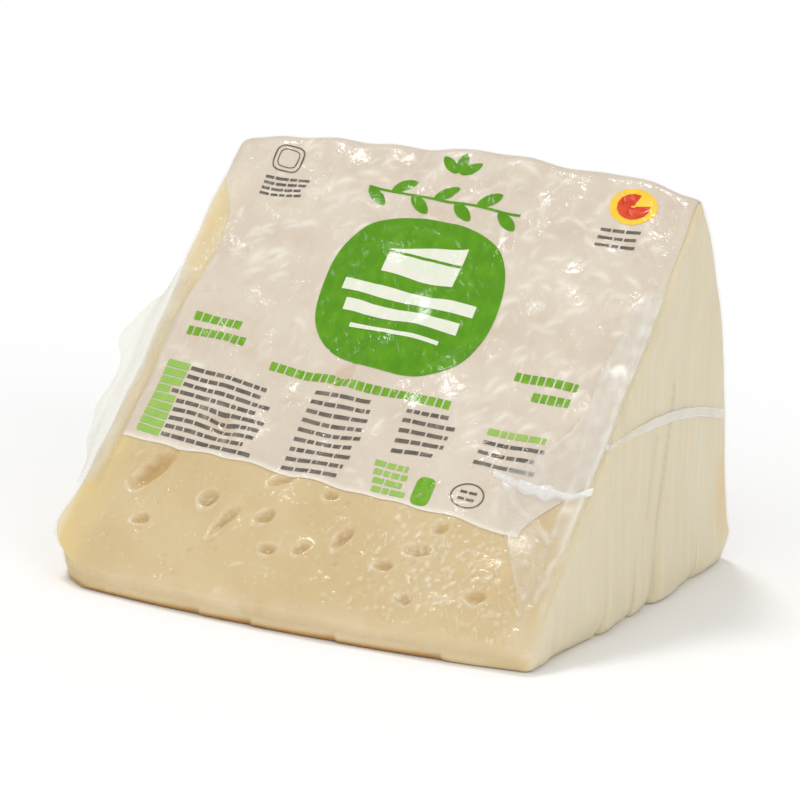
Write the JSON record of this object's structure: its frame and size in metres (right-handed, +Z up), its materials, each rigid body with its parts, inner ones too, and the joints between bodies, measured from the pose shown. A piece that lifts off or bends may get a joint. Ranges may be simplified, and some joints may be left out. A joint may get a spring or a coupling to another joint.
{
  "type": "pecorino romano cheese wedge",
  "caption": "Hard sheep's-milk cheese wedge, vacuum packed in clear film with a pale printed panel, lying on one cut face.",
  "frame": {"origin": "middle of the flat cut face that the wedge lies on", "axes": "+Z up, +X along the tip edge towards the end face with the weld, -Y towards the side that the other cut face slopes down to"},
  "size_m": [0.1724, 0.1737, 0.1267],
  "materials": {
    "film": "clear, glossy, shrunk tight over the cheese",
    "cheese": "pale straw-coloured paste, moist under the film",
    "print": "ink on the film, milky white with green marks"
  },
  "bodies": {
    "root": {"vacuum_pack": "film"}
  },
  "joints": []
}
